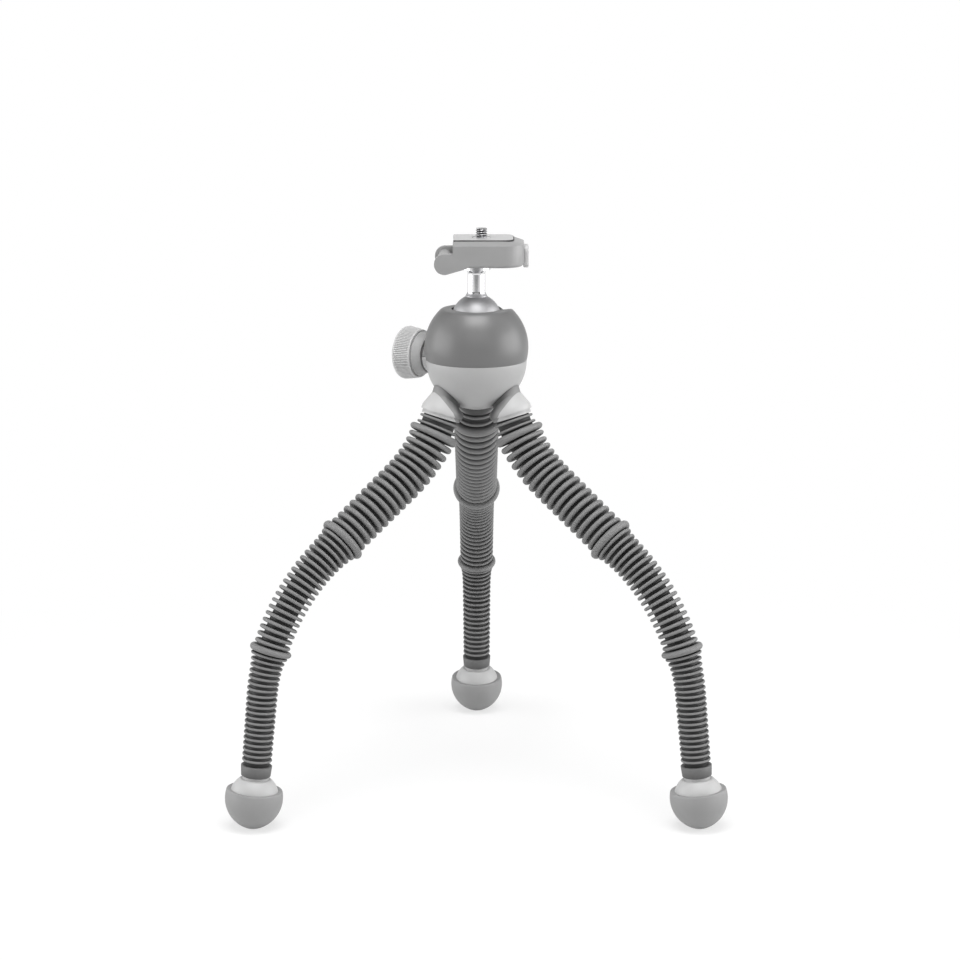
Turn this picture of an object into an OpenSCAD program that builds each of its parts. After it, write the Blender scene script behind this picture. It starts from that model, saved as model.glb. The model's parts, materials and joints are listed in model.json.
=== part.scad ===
// Flexible leg tripod with a ball head and a quick release clamp.
// Millimetres, +Z up. The origin is on the tripod's axis, on the ground.
// +X is to the right and -Y to the front, with one leg to the rear.

/* [Leg curve] */
// Lean of a leg from upright where it leaves the hip, in degrees
hip_lean = 20; // [14:1:26]
// Lean of the straight middle stretch, in degrees
mid_lean = 52; // [44:1:58]
// Lean of the straight stretch above the foot, in degrees
foot_lean = 6; // [2:1:12]
// Radius of the upper bend
upper_bend_r = 80; // [70:1:110]
// Length of the straight middle stretch
mid_run = 58; // [54:1:70]
// Radius of the lower bend
lower_bend_r = 110; // [100:1:130]
// Length of the straight stretch above the foot
low_run = 45; // [40:1:60]
// Distance of a leg's top from the tripod's axis
hip_x = 22.3; // [21.8:0.1:24]

/* [Sleeve] */
// Thin ribs in each of the four zones, from hip to foot
zone_ribs = [2, 16, 19, 20]; // [1:1:22]
// Radius of the first thin rib of each zone
zone_first_r = [11.3, 12.6, 10.7, 8.8]; // [8:0.1:13]
// Radius of the last thin rib of each zone
zone_last_r = [11.6, 12.1, 10.1, 8.3]; // [8:0.1:13]
// How far the rib next below a thick rib stands out past its zone
zone_flare = [0, 0.5, 1.2, 1.4]; // [0:0.1:1.6]
// Thickness of the thin ribs of each zone
zone_rib_t = [1.6, 2.8, 1.9, 1.4]; // [1:0.1:3]
// Radius of the sleeve between its ribs, on each stretch of the leg
core_r = [8, 7.8, 6.8, 6.5]; // [6.5:0.1:8.2]
// Radius of the sleeve between the hip and the first thick rib
neck_core_r = 9.4; // [9:0.1:10]
// Distance of each thick rib from the hip
thick_rib_at = [12.3, 91.4, 164.9]; // [10:0.1:170]
// Radius of the thick ribs
thick_rib_r = [14.2, 13.9, 11.7]; // [11:0.1:15]
// Thickness of the thick ribs
thick_rib_t = [4.2, 4.3, 3.4]; // [3:0.1:4.6]
// Radius of the plain band that ends the sleeve
band_r = 8.6; // [8:0.1:9.2]
// Height of the plain band
band_h = 6.2; // [5:0.1:7]
// Gap between a link's cup and the sleeve's bore
sleeve_gap = 0.5; // [0.4:0.05:0.6]

/* [Links] */
// Links that are strung between two posable balls
links_per_group = 3; // [2:1:3]
// Radius of a link's ball
link_ball_r = 3.4; // [3.2:0.05:3.5]
// Radius of the neck that carries the ball
link_neck_r = 1.8; // [1.6:0.05:1.9]
// Outer radius of a link's cup
link_cup_r = 4.7; // [4.5:0.05:4.8]
// Running clearance of a ball in its cup
ball_fit = 0.06; // [0.03:0.01:0.1]
// Half angle of a cup's mouth, in degrees
cup_mouth = 59; // [56:1:62]
// Distance of the first ball from the top of the sleeve
first_ball = 5; // [4.6:0.1:6]
// Distance of the last ball from the lower end of the sleeve
last_ball = 9; // [8:0.1:10]

/* [Foot] */
// Radius of the ankle's dome
dome_r = 13.75; // [12.5:0.05:14.2]
// Distance of the dome's centre below the sleeve
dome_drop = 12.5; // [12:0.1:13.4]
// Radius of the neck between sleeve and dome
ankle_neck_r = 7.2; // [6:0.1:7.6]
// Height of that neck
ankle_neck_h = 1.8; // [1:0.1:2.2]
// Widest radius of the rubber foot
foot_r = 16; // [15.4:0.1:17]
// Radius of the foot's curved side
foot_side_r = 18; // [17.6:0.1:20]
// Height of the foot's rim above its widest place
foot_rim_h = 4.7; // [3:0.1:5.4]
// Depth of the flat that the foot stands on
foot_flat = 0.4; // [0.3:0.05:0.6]

/* [Housing] */
// Radius of the upper shell
shell_r = 29; // [28.5:0.1:30]
// Height of the upper shell's centre above the top of the legs
shell_rise = 35.8; // [35.4:0.1:37]
// Depth of the seam below the upper shell's centre
seam_drop = 7; // [6:0.1:8]
// Height of the mouth's rim above the upper shell's centre
rim_rise = 21.5; // [21:0.1:22.4]
// Radius of the rim's outer edge
rim_edge_r = 2.5; // [1.5:0.1:3]
// Height of the skirt that centres the shells on each other
skirt_h = 6; // [5:0.1:6.6]
// Radius of that skirt
skirt_r = 22; // [20:0.1:23]
// Radius of the cap under the lower shell
cap_r = 9.3; // [8:0.1:10]
// Clearance of pieces that are set into each other
set_fit = 0.1; // [0.05:0.01:0.15]

/* [Hip] */
// Radius of the flange that the sleeve butts against
hip_flange_r = 11.9; // [11.6:0.1:12.4]
// Thickness of that flange's edge
hip_edge = 2.5; // [2:0.1:3]
// Half angle of the cone above the flange, in degrees
hip_cone = 23.7; // [20:0.1:27]
// Gap between a hip's flare and the lower shell, at the shell's widest place
hip_gap = 0.4; // [0.3:0.1:0.8]
// How much wider that gap is under the lower shell
hip_hollow = 4; // [2:0.1:5]
// Radius of the hip's neck in that gap
hip_neck_r = 8.6; // [8:0.1:9]
// Radius of the lip under the flange, round the sleeve's end
hip_lip_r = 10.9; // [10.4:0.1:11.2]
// Height of that lip
hip_lip_h = 2.2; // [1.6:0.1:2.4]
// Radius of the spigot that sits in the lower shell
hip_spigot_r = 6; // [5:0.1:6.6]
// Length of the spigot from the flange's face
hip_spigot_l = 14; // [13:0.1:15]
// Radius of the ball stud's shank
stud_r = 2.5; // [2:0.1:3]

/* [Ball head] */
// Radius of the ball
ball_r = 13.8; // [13.4:0.05:14]
// Height of the ball's centre above the upper shell's centre
ball_rise = 16; // [15.8:0.1:16.6]
// Radius of the stem
stem_r = 5.05; // [4.6:0.05:5.2]
// Radius of the stem's flare at the ball
stem_foot_r = 6; // [5.4:0.05:6.1]
// Radius of the disc at the stem's top
disc_r = 8.1; // [7.6:0.1:8.4]
// Radius of the stem's pivot in the ball
pivot_r = 3.5; // [3:0.1:4]
// Depth of the pivot below the top of the ball
pivot_l = 8; // [6:0.1:9]
// Direction of the drop slot, in degrees from +X
slot_az = 31; // [20:1:40]
// Half width of the drop slot
slot_r = 6.3; // [6.2:0.05:6.6]
// Radius of the flared corners at the top of the drop slot
slot_flare = 5.2; // [4:0.1:5.4]
// Outer radius of the seat ring
ring_r = 17; // [16.4:0.1:17.6]
// Outer radius of the ball cup
cup_r = 14.5; // [14.2:0.1:15]
// Radius of the lift block under the cup
block_r = 9.2; // [8.6:0.1:9.6]

/* [Lock knob] */
// Direction of the knob's axis, in degrees from +X
knob_az = 150; // [140:1:160]
// Widest radius of the knob's drum
knob_r = 15.05; // [14:0.05:16]
// Distance of the drum's outer face from the tripod's axis
knob_reach = 47.6; // [46:0.1:50]
// Length of the drum
drum_l = 11.6; // [10:0.1:13]
// Length of the smooth neck behind the drum
knob_neck_l = 5.2; // [4.6:0.1:5.4]
// Radius of the round seat that the knob faces on the shells
knob_seat_r = 9.6; // [9:0.1:10]
// Radius of the spindle
spindle_r = 3; // [2.6:0.05:3.2]
// Running clearance of the spindle and the stem's pivot
run_fit = 0.05; // [0.03:0.01:0.1]
// Outer radius of the spindle's bush
bush_r = 5.6; // [5:0.1:5.8]
// Radius of the wedge that the spindle pushes
wedge_r = 4; // [3.6:0.1:4.2]
// Travel of the wedge
wedge_travel = 0.75; // [0.5:0.05:0.9]

/* [Clamp] */
// Height of the clamp's underside above the ball's centre
clamp_rise = 30.6; // [30.2:0.1:32]
// Height of the clamp
clamp_h = 14.8; // [14.4:0.1:16]
// Width of the clamp, front to rear
clamp_w = 38; // [37:0.1:40]
// Distance of the clamp's open end to the left of the stem
clamp_left = 12.9; // [12:0.1:14]
// Distance of the clamp's round end to the right of the stem
clamp_right = 26.3; // [26:0.1:28]
// Corner radius of the round end
clamp_corner_r = 12; // [10:0.1:13]
// Width and drop of the slope along the clamp's top edge
clamp_slope = [6, 2.2]; // [1:0.1:7]
// Radius of the lugs at the open end
lug_r = 5.7; // [5.2:0.1:6]
// Distance of the lugs' pin to the left of the open end
lug_reach = 4.6; // [4.4:0.1:5.4]
// Height of the lugs' pin above the clamp's underside
lug_rise = 2.1; // [1.8:0.1:2.6]
// Thickness of a lug
lug_t = 4; // [3:0.1:5]
// Thickness of the skin that covers the pin's ends
lug_skin = 1.2; // [0.8:0.1:1.6]
// Radius of the latch's pin
pin_r = 1.5; // [1.2:0.05:1.8]
// Radius of the latch's barrel
latch_r = 4.1; // [3.6:0.1:4.2]

/* [Plate] */
// Width of the plate's top
plate_w = 26; // [24:0.1:27]
// Thickness of the plate
plate_t = 5; // [4.6:0.1:5.4]
// How far each side of the plate spreads below its top
plate_spread = 2.5; // [2:0.1:2.8]
// Corner radius of the plate's right end
plate_corner_r = 5; // [4:0.1:6]
// Distance of the plate's right end from the clamp's right end
plate_inset = 6; // [5.8:0.1:7]
// How far the plate stands above the clamp
plate_proud = 0.5; // [0.3:0.1:0.8]
// Sliding clearance of the plate in its channel
slide_fit = 0.2; // [0.15:0.01:0.3]
// Distance of the camera screw to the right of the stem
screw_x = 2.8; // [2:0.1:4]
// Radius of the camera screw
screw_r = 3.175; // [3.175, 4.7625]
// Height of the camera screw above the plate
screw_h = 5.2; // [4.5:0.1:6]
// Radius of the camera screw's head
screw_head_r = 6.5; // [6.2:0.1:7]
// Thickness of the camera screw's head
screw_head_t = 2; // [1.6:0.1:2.2]

/* [Button] */
// Height of the release button
button_h = 12.3; // [11:0.1:13]
// Width of the release button
button_w = 12; // [10:0.1:13]
// Thickness of the release button
button_t = 3; // [2.8:0.1:3.4]
// How far the button stands out of the clamp
button_proud = 2.6; // [2:0.1:2.8]
// Travel of the button
button_travel = 1.5; // [1:0.1:1.8]
// How far the button reaches below the clamp
button_drop = 1.6; // [1:0.1:2]
// Radius of the button's guide pin
guide_r = 2; // [1.6:0.1:2.2]

/* [Hidden] */
$fn = 64;
over = 1;
// Room left between pieces that never touch
free = 0.2;
rad = 180/PI;
groups = 7;
leg_name = ["rear", "left", "right"];
leg_az = [90, 210, 330];

// Colours as the photograph shows them
dark_grey = "#757575";
light_grey = "#bdbdbd";
mid_grey = "#9d9d9d";
pale = "#d2d2d2";
rib_grey = "#6a6a6a";
rubber_grey = "#8f8f8f";
chrome = "#e4e4e4";
steel = "#b8b8b8";
nylon = "#efefe8";

// The leg's centre line in its own upright plane, as [distance from the axis, height].
// It is an upper bend, a straight middle, a lower bend and a straight end.
function along(lean) = [sin(lean), -cos(lean)];
function upper_arc(lean) = upper_bend_r*[cos(hip_lean) - cos(lean), sin(hip_lean) - sin(lean)];
function lower_arc(lean) = lower_bend_r*[cos(lean) - cos(mid_lean), sin(lean) - sin(mid_lean)];
upper_end = upper_bend_r*(mid_lean - hip_lean)/rad;
mid_end = upper_end + mid_run;
lower_end = mid_end + lower_bend_r*(mid_lean - foot_lean)/rad;
leg_l = lower_end + low_run;
leg_drop = -(upper_arc(mid_lean) + mid_run*along(mid_lean) + lower_arc(foot_lean)
    + low_run*along(foot_lean)).y;

// The foot stands on the ground, and the rest of the tripod on its legs
foot_offset = foot_side_r - foot_r;
foot_tip = sqrt(foot_side_r^2 - foot_offset^2);
foot_z = foot_tip*cos(foot_lean) - foot_flat;
hip_z = foot_z + dome_drop*cos(foot_lean) + leg_drop;
shell_z = hip_z + shell_rise;
seam_z = shell_z - seam_drop;
rim_z = shell_z + rim_rise;
bowl_r = sqrt(shell_r^2 - seam_drop^2);
ball_z = shell_z + ball_rise;
clamp_z = ball_z + clamp_rise;
top_z = clamp_z + clamp_h;

hip_at = [hip_x, hip_z];
upper_at = hip_at + upper_arc(mid_lean);
mid_at = upper_at + mid_run*along(mid_lean);
lower_at = mid_at + lower_arc(foot_lean);
function lean_at(s) = s < upper_end ? hip_lean + s/upper_bend_r*rad
    : s < mid_end ? mid_lean
    : s < lower_end ? mid_lean - (s - mid_end)/lower_bend_r*rad
    : foot_lean;
function spot(s) = s < upper_end ? hip_at + upper_arc(lean_at(s))
    : s < mid_end ? upper_at + (s - upper_end)*along(mid_lean)
    : s < lower_end ? mid_at + lower_arc(lean_at(s))
    : lower_at + (s - lower_end)*along(foot_lean);

// Puts children on the leg at distance s from the hip, with -Z along the leg
module on_leg(s) {
    p = spot(s);
    translate([p.x, 0, p.y]) rotate([0, -lean_at(s), 0]) children();
}

module in_leg_plane(leg) {
    rotate([0, 0, leg_az[leg]]) children();
}

// Solid round bar of radius r along the leg from s0 to s1
module leg_bar(s0, s1, r) {
    bend_bar(max(s0, 0), min(s1, upper_end), r, upper_bend_r, hip_lean,
        hip_at + upper_bend_r*[cos(hip_lean), sin(hip_lean)], 180, 1, 0);
    straight_bar(max(s0, upper_end), min(s1, mid_end), r);
    bend_bar(max(s0, mid_end), min(s1, lower_end), r, lower_bend_r, mid_lean,
        mid_at - lower_bend_r*[cos(mid_lean), sin(mid_lean)], 0, -1, mid_end);
    straight_bar(max(s0, lower_end), min(s1, leg_l), r);
}

module straight_bar(s0, s1, r) {
    if (s1 > s0) on_leg(s0) translate([0, 0, s0 - s1]) cylinder(r = r, h = s1 - s0);
}

module bend_bar(s0, s1, r, bend_r, lean0, centre, side, way, start) {
    turn0 = side + lean0 + way*(s0 - start)/bend_r*rad;
    turn1 = side + lean0 + way*(s1 - start)/bend_r*rad;
    if (s1 > s0)
        translate([centre.x, 0, centre.y]) rotate([90, 0, 0]) rotate([0, 0, min(turn0, turn1)])
            rotate_extrude(angle = abs(turn1 - turn0)) translate([bend_r, 0]) circle(r);
}

// Sleeve: one hollow moulding with thin ribs in four zones, three thick ribs and an end band
band_top = leg_l - band_h;
band_taper = 0.5;
zone_start = [0, thick_rib_at[0], thick_rib_at[1], thick_rib_at[2]];
zone_end = [thick_rib_at[0], thick_rib_at[1], thick_rib_at[2], band_top];
flare_fade = 0.45;
function rib_share(zone, i) = zone_ribs[zone] < 2 ? 0 : i/(zone_ribs[zone] - 1);
function rib_r(zone, i) = zone_first_r[zone] + (zone_last_r[zone] - zone_first_r[zone])*rib_share(zone, i)
    + zone_flare[zone]*flare_fade^i;
function rib_at(zone, i) = zone_start[zone]
    + (zone_end[zone] - zone_start[zone])*(i + 1)/(zone_ribs[zone] + 1);
bore_r = link_cup_r + sleeve_gap;
bore_step = [1, 0.8, 0.3, 0];

// Every rib as [distance from the hip, radius, thickness]
ribs = concat(
    [for (zone = [0:3]) for (i = [0:zone_ribs[zone] - 1]) [rib_at(zone, i), rib_r(zone, i), zone_rib_t[zone]]],
    [for (k = [0:2]) [thick_rib_at[k], thick_rib_r[k], thick_rib_t[k]]]);

// A rib with a round edge, centred on the leg
module rib_profile(rib) {
    edge_r = rib[2]/2;
    translate([0, -edge_r]) square([rib[1] - edge_r, rib[2]]);
    translate([rib[1] - edge_r, 0]) circle(edge_r);
}

// A straight stretch of the sleeve with its ribs, as one revolve
module sleeve_run(s0, s1, r) {
    on_leg(s0) rotate_extrude() {
        translate([0, s0 - s1]) square([r, s1 - s0]);
        for (rib = ribs)
            if (rib[0] >= s0 && rib[0] < s1) translate([0, s0 - rib[0]]) rib_profile(rib);
        if (s1 == leg_l)
            translate([0, s0 - leg_l]) polygon([[0, 0], [band_r - band_taper, 0], [band_r, band_h], [0, band_h]]);
    }
}

// A bent stretch of the sleeve, with the ribs that stand on it
module sleeve_bend(s0, s1, r) {
    leg_bar(s0, s1, r);
    for (rib = ribs)
        if (rib[0] >= s0 && rib[0] < s1) on_leg(rib[0]) rotate_extrude() rib_profile(rib);
}

module sleeve(leg) {
    color(rib_grey) in_leg_plane(leg) difference() {
        union() {
            sleeve_bend(0, upper_end, core_r[0]);
            sleeve_run(upper_end, mid_end, core_r[1]);
            sleeve_bend(mid_end, lower_end, core_r[2]);
            sleeve_run(lower_end, leg_l, core_r[3]);
            leg_bar(0, thick_rib_at[0], neck_core_r);
        }
        leg_bar(0, upper_end, bore_r + bore_step[0]);
        leg_bar(upper_end, mid_end, bore_r + bore_step[1]);
        leg_bar(mid_end, lower_end, bore_r + bore_step[2]);
        leg_bar(lower_end, leg_l, bore_r + bore_step[3]);
    }
}

// Links: each has a cup that holds the ball above it, and a ball of its own below
links = groups*links_per_group;
pitch = (leg_l - last_ball - first_ball)/links;
cup_bore_r = link_ball_r + ball_fit;
cup_root = sqrt(link_cup_r^2 - link_ball_r^2);
root_depth = 0.3;
neck_step = 0.6;
function joint_at(i) = i == 0 ? hip_at + first_ball*along(hip_lean) : spot(first_ball + i*pitch);

// The cup is a sphere, hollow for the ball and open in a cone at its top
module cup_outline() {
    difference() {
        circle(link_cup_r);
        circle(cup_bore_r);
        polygon([[0, 0], 2*link_cup_r*[sin(cup_mouth), cos(cup_mouth)], [0, 2*link_cup_r]]);
        translate([-2*link_cup_r, -2*link_cup_r]) square([2*link_cup_r, 4*link_cup_r]);
    }
}

module link(l) {
    rotate_extrude() {
        cup_outline();
        polygon([[0, -cup_bore_r - root_depth], [link_ball_r, -cup_root], [link_neck_r, -link_cup_r - neck_step],
            [link_neck_r, -l], [0, -l]]);
        intersection() {
            translate([0, -l]) circle(link_ball_r);
            translate([0, -l - link_ball_r]) square(2*link_ball_r);
        }
    }
}

module link_group(leg, group) {
    color(nylon) in_leg_plane(leg)
        for (i = [group*links_per_group:(group + 1)*links_per_group - 1]) {
            step = joint_at(i + 1) - joint_at(i);
            translate([joint_at(i).x, 0, joint_at(i).y]) rotate([0, -atan2(step.x, -step.y), 0])
                link(norm(step));
        }
}

// Ankle: a cup on a stalk inside the sleeve, a neck and a dome for the rubber foot
module ankle(leg) {
    stalk_r = link_cup_r - neck_step;
    color(pale) in_leg_plane(leg) on_leg(leg_l) {
        translate([0, 0, last_ball]) rotate_extrude() {
            cup_outline();
            polygon([[0, -cup_bore_r - root_depth], [link_ball_r, -cup_root], [stalk_r, -cup_root],
                [stalk_r, -last_ball], [0, -last_ball]]);
        }
        translate([0, 0, -ankle_neck_h - over]) cylinder(r = ankle_neck_r, h = ankle_neck_h + over);
        intersection() {
            translate([0, 0, -dome_drop]) sphere(dome_r);
            translate([0, 0, -dome_drop - dome_r]) cylinder(r = dome_r, h = dome_drop + dome_r - ankle_neck_h);
        }
    }
}

// Foot: a rubber bowl with a rounded cone below, moulded over the dome and flat where it stands
module foot(leg) {
    color(rubber_grey) difference() {
        in_leg_plane(leg) on_leg(leg_l) translate([0, 0, -dome_drop]) difference() {
            rotate_extrude() intersection() {
                translate([-foot_offset, 0]) circle(foot_side_r);
                translate([0, -foot_tip]) square([foot_r, foot_tip + foot_rim_h]);
            }
            sphere(dome_r);
        }
        translate([-leg_l, -leg_l, -leg_l]) cube([2*leg_l, 2*leg_l, leg_l]);
    }
}

spigot_end = 0.5;
stud_l = hip_spigot_l - 2*spigot_end;

// Hip: a flared flange cut hollow under the lower shell, a neck in the hollow, a spigot in the shell,
// and a lip round the sleeve's end
module hip(leg) {
    cone_h = hip_spigot_l;
    cone_top_r = hip_flange_r - (cone_h - hip_edge)*tan(hip_cone);
    color(pale) in_leg_plane(leg) difference() {
        union() {
            difference() {
                on_leg(0) {
                    translate([0, 0, -hip_lip_h]) cylinder(r = hip_lip_r, h = hip_lip_h + hip_edge/2);
                    cylinder(r = hip_flange_r, h = hip_edge);
                    translate([0, 0, hip_edge]) cylinder(r1 = hip_flange_r, r2 = cone_top_r, h = cone_h - hip_edge);
                }
                translate([0, 0, seam_z - hip_hollow]) sphere(bowl_r + hip_gap);
            }
            difference() {
                on_leg(0) translate([0, 0, hip_edge/2]) cylinder(r = hip_neck_r, h = 2*hip_spigot_l);
                translate([0, 0, seam_z]) sphere(bowl_r + free);
            }
            on_leg(0) translate([0, 0, hip_edge/2]) cylinder(r = hip_spigot_r, h = hip_spigot_l - hip_edge/2);
        }
        on_leg(0) translate([0, 0, -hip_lip_h - over]) cylinder(r = neck_core_r + free, h = hip_lip_h + over);
        on_leg(0) translate([0, 0, -over]) cylinder(r = stud_r + set_fit/2, h = hip_spigot_l - spigot_end + over);
    }
}

// Ball studs: each screws into its hip and carries the leg's first ball
module hip_studs() {
    collar_t = 0.8;
    collar_r = stud_r + 1.6;
    color(steel) for (leg = [0:2]) in_leg_plane(leg) on_leg(0) rotate_extrude() {
        intersection() {
            translate([0, -first_ball]) circle(link_ball_r);
            translate([0, -2*first_ball]) square(3*first_ball);
        }
        translate([0, -first_ball]) square([link_neck_r, first_ball]);
        translate([0, -collar_t]) square([collar_r, collar_t]);
        square([stud_r, stud_l]);
    }
}

// Puts children on the knob's axis, with +Z outwards
module on_knob() {
    translate([0, 0, seam_z]) rotate([0, 0, knob_az]) rotate([0, 90, 0]) children();
}

seat_rise = 1.5;
seat_end = bowl_r + seat_rise;
neck_start = knob_reach - drum_l - knob_neck_l;
bush_in = 16;
wedge_out = bush_in - wedge_travel - free;

module knob_bores() {
    on_knob() {
        cylinder(r = wedge_r + free, h = bush_in + over);
        translate([0, 0, bush_in - free]) cylinder(r = bush_r + set_fit, h = seat_end);
    }
}

module knob_seat() {
    on_knob() translate([0, 0, skirt_r - over]) cylinder(r = knob_seat_r, h = seat_end - skirt_r + over);
}

// Slot in the mouth that lets the stem drop to the side, flared at its top corners,
// with a hollow outside for the stem's disc
module drop_slot() {
    slot_h = rim_z - ball_z;
    lap = 0.15;
    corner = [slot_r + slot_flare - lap, slot_h - slot_flare + lap];
    hollow_in = disc_low - ball_z - 7*free;
    translate([0, 0, ball_z]) rotate([0, 0, slot_az]) {
        rotate([90, 0, 90]) linear_extrude(shell_r + over) {
            circle(slot_r);
            translate([-slot_r, 0]) square([2*slot_r, slot_h + over]);
            difference() {
                translate([-corner.x, corner.y]) square([2*corner.x, slot_flare + over]);
                for (side = [-1, 1])
                    translate([side*corner.x, corner.y]) circle(slot_flare);
            }
        }
        rotate([0, 90, 0]) translate([0, 0, hollow_in]) cylinder(r = disc_r + 2*free, h = shell_r);
    }
}

ring_low = ball_z - 4;
ring_top = ball_z + 3;
cup_low = seam_z + 7.3;
cup_top = ball_z - 7;
block_low = seam_z - skirt_h + free;
lip_r = ball_r + set_fit;

// Outline of the shell's cut: flat at the seam, flat at the rim, with two cones that round the rim's edge
module shell_cut() {
    edge = [sqrt((shell_r - rim_edge_r)^2 - (rim_rise - rim_edge_r)^2), rim_rise - rim_edge_r];
    low = atan2(edge.y, edge.x);
    mid = (low + 90)/2;
    p0 = shell_r*[cos(low), sin(low)];
    p1 = edge + rim_edge_r*[cos(mid), sin(mid)];
    outside = p0 + (p0 - p1)*shell_r/2;
    polygon([[0, -seam_drop], [outside.x, -seam_drop], outside, p1, [edge.x, rim_rise], [0, rim_rise]]);
}

module upper_shell() {
    color(dark_grey) difference() {
        union() {
            translate([0, 0, shell_z]) intersection() {
                sphere(shell_r);
                rotate_extrude() shell_cut();
            }
            intersection() {
                knob_seat();
                translate([-2*shell_r, -2*shell_r, seam_z]) cube([4*shell_r, 4*shell_r, knob_seat_r + over]);
            }
            translate([0, 0, seam_z - skirt_h]) cylinder(r = skirt_r, h = skirt_h + over);
        }
        translate([0, 0, seam_z - skirt_h - over]) cylinder(r = block_r + set_fit, h = rim_z - seam_z);
        translate([0, 0, cup_low - 2*free]) cylinder(r = cup_r + set_fit, h = ball_z - cup_low);
        translate([0, 0, ring_low - set_fit]) cylinder(r = ring_r + set_fit, h = ring_top - ring_low + 2*set_fit);
        translate([0, 0, ring_top]) cylinder(r = lip_r, h = rim_z - ring_top + over);
        knob_bores();
        drop_slot();
    }
}

cap_low = seam_z - bowl_r;
cap_seam = seam_z - sqrt(bowl_r^2 - cap_r^2);
cap_t = 3;
cap_plug_r = cap_r - 2.5;
cap_plug_h = 3;

module lower_shell() {
    color(light_grey) difference() {
        union() {
            intersection() {
                translate([0, 0, seam_z]) sphere(bowl_r);
                translate([0, 0, seam_z - bowl_r - over]) cylinder(r = bowl_r + over, h = bowl_r + over);
            }
            intersection() {
                knob_seat();
                translate([-2*shell_r, -2*shell_r, seam_z - knob_seat_r - over])
                    cube([4*shell_r, 4*shell_r, knob_seat_r + over]);
            }
        }
        translate([0, 0, seam_z - skirt_h - set_fit]) cylinder(r = skirt_r + set_fit, h = skirt_h + over);
        knob_bores();
        for (leg = [0:2])
            in_leg_plane(leg) on_leg(0) cylinder(r = hip_spigot_r + set_fit, h = hip_spigot_l + set_fit);
        translate([0, 0, cap_low - over]) cylinder(r = cap_r + set_fit, h = cap_seam + cap_t - cap_low + over);
        translate([0, 0, cap_seam]) cylinder(r = cap_plug_r + set_fit, h = cap_t + cap_plug_h + set_fit);
    }
}

module bottom_cap() {
    color(pale) union() {
        intersection() {
            translate([0, 0, seam_z]) sphere(bowl_r);
            translate([0, 0, cap_low - over]) cylinder(r = cap_r, h = cap_seam + cap_t - cap_low + over);
        }
        translate([0, 0, cap_seam + cap_t]) cylinder(r = cap_plug_r, h = cap_plug_h);
    }
}

// Seat ring: holds the ball down under the mouth's lip, with a gap at the drop slot
module seat_ring() {
    color(nylon) difference() {
        translate([0, 0, ring_low]) cylinder(r = ring_r, h = ring_top - ring_low);
        translate([0, 0, ball_z]) sphere(ball_r + ball_fit);
        drop_slot();
    }
}

// Ball cup: the friction seat under the ball, which turns with it
module ball_cup() {
    color(nylon) difference() {
        translate([0, 0, cup_low]) cylinder(r = cup_r, h = cup_top - cup_low);
        translate([0, 0, ball_z]) sphere(ball_r + ball_fit);
    }
}

// Half space above the slope on which the wedge lifts the block, moved along it by gap
module above_slope(gap) {
    reach = 4*block_r;
    foot_of_slope = 5;
    on_knob() translate([0, 0, foot_of_slope]) rotate([0, -45, 0]) translate([-reach - gap, -reach/2, -reach/2])
        cube([reach, reach, reach]);
}

// Lift block: raised by the wedge, it presses the cup against the ball
module lift_block() {
    slope_fit = 0.08;
    color(steel) difference() {
        translate([0, 0, block_low]) cylinder(r = block_r, h = cup_low - free - block_low);
        difference() {
            on_knob() translate([0, 0, -block_r]) cylinder(r = wedge_r + free, h = 3*block_r);
            above_slope(slope_fit);
        }
    }
}

module brake_wedge() {
    color(steel) difference() {
        on_knob() translate([0, 0, -block_r/2]) cylinder(r = wedge_r, h = wedge_out + block_r/2);
        above_slope(0);
        on_knob() translate([0, 0, -2*block_r]) cylinder(r = 2*wedge_r, h = 2*block_r + 3*free);
    }
}

module knob_bush() {
    color("#c9a94e") on_knob() difference() {
        translate([0, 0, bush_in]) cylinder(r = bush_r, h = seat_end - bush_in);
        translate([0, 0, bush_in - over]) cylinder(r = spindle_r + run_fit, h = seat_end);
    }
}

spindle_out = knob_reach - 4;

module knob_spindle() {
    color(steel) on_knob() translate([0, 0, wedge_out + set_fit])
        cylinder(r = spindle_r, h = spindle_out - wedge_out - set_fit);
}

// Lock knob: a drum that widens outwards, a groove and a tapered neck
module lock_knob() {
    drum_in = knob_reach - drum_l;
    edge = 3;
    neck_r = 12.6;
    neck_end_r = 10.2;
    groove = 0.6;
    lap = 0.1;
    drum_in_r = knob_r - 1.5;
    color(light_grey) on_knob() difference() {
        rotate_extrude() {
            polygon([[0, neck_start], [neck_end_r, neck_start], [neck_r, drum_in - groove],
                [neck_r - groove, drum_in], [0, drum_in]]);
            polygon([[0, drum_in - lap], [drum_in_r, drum_in - lap], [knob_r, knob_reach - edge],
                [knob_r - edge, knob_reach - edge], [0, knob_reach - edge]]);
            intersection() {
                translate([knob_r - edge, knob_reach - edge]) circle(edge);
                translate([knob_r - edge, knob_reach - edge]) square(edge);
            }
            translate([0, knob_reach - edge - lap]) square([knob_r - edge, edge + lap]);
        }
        translate([0, 0, neck_start - over]) cylinder(r = spindle_r, h = spindle_out - neck_start + over);
    }
}

pivot_low = ball_z + ball_r - pivot_l;

module ball() {
    color(chrome) difference() {
        translate([0, 0, ball_z]) sphere(ball_r);
        translate([0, 0, pivot_low - free]) cylinder(r = pivot_r + run_fit, h = pivot_l + over);
    }
}

bolt_r = 2.5;
bolt_head_r = 4.5;
bolt_head_t = 2.5;
bolt_in = 10;
channel_z = top_z - plate_t - slide_fit;
bolt_seat = channel_z - bolt_head_t - 4*free;
disc_t = 3.1;
flare = [1.4, 1.2, 2.2];
disc_low = clamp_z - disc_t - flare.y;

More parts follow.
